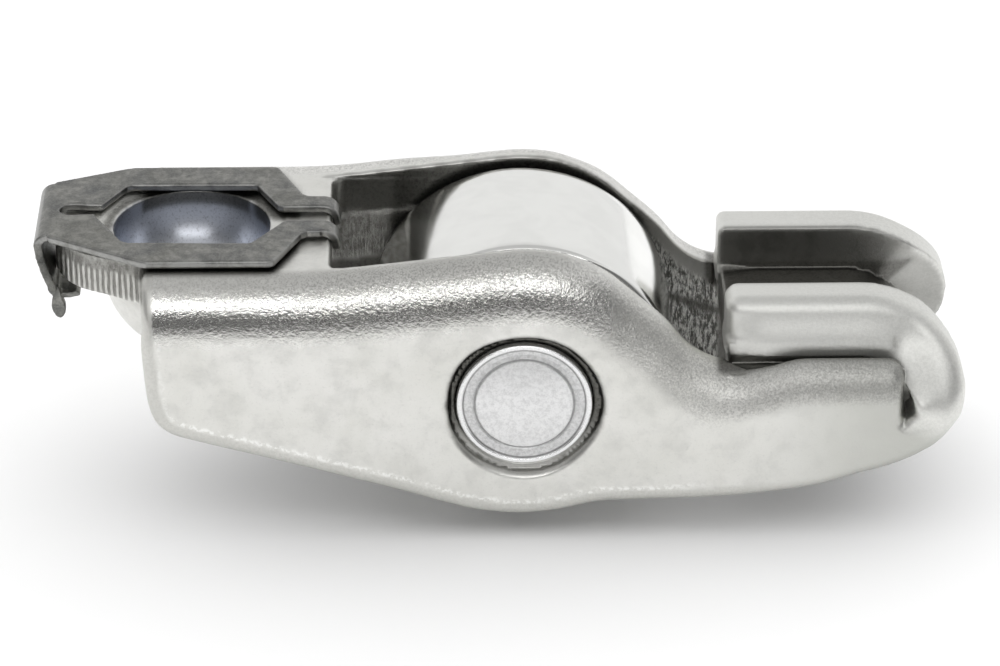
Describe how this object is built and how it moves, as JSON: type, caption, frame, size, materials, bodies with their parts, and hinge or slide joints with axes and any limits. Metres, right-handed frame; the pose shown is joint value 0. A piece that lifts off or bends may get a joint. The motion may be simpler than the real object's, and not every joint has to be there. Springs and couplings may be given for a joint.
{
  "type": "rocker arm",
  "caption": "Stamped steel roller finger follower with a needle-bearing cam roller, a ball socket with a spring retaining clip, and guide lugs at the valve end.",
  "frame": {"origin": "centre of the pivot ball in the ball socket", "axes": "+X along the arm from the pivot end to the valve end, +Y across the arm along the roller axle, +Z out of the ball socket"},
  "size_m": [0.0539, 0.0164, 0.0183],
  "materials": {
    "pressed_steel": "tumbled satin steel",
    "dark_spring_steel": "blued spring steel",
    "ground_steel": "ground",
    "axle_steel": "turned, matte face",
    "needle_steel": "polished"
  },
  "bodies": {
    "arm": {"rocker_body": "pressed_steel", "retaining_clip": "dark_spring_steel", "roller_axle": "axle_steel"},
    "roller": {"cam_roller": "ground_steel"},
    "needle_set": {"needle_roller_01": "needle_steel", "needle_roller_02": "needle_steel", "needle_roller_03": "needle_steel", "needle_roller_04": "needle_steel", "needle_roller_05": "needle_steel", "needle_roller_06": "needle_steel", "needle_roller_07": "needle_steel", "needle_roller_08": "needle_steel", "needle_roller_09": "needle_steel", "needle_roller_10": "needle_steel", "needle_roller_11": "needle_steel", "needle_roller_12": "needle_steel", "needle_roller_13": "needle_steel", "needle_roller_14": "needle_steel", "needle_roller_15": "needle_steel", "needle_roller_16": "needle_steel"}
  },
  "joints": [
    {"name": "roller_spin", "type": "hinge", "parent": "arm", "child": "roller", "pos_m": [0.01945, 0, -0.0072], "axis": [0, 1, 0], "continuous": true},
    {"name": "needle_orbit", "type": "hinge", "parent": "arm", "child": "needle_set", "pos_m": [0.01945, 0, -0.0072], "axis": [0, 1, 0], "continuous": true}
  ],
  "couplings": [
    {"joint": "needle_orbit", "follows": "roller_spin", "ratio": 0.59759}
  ]
}
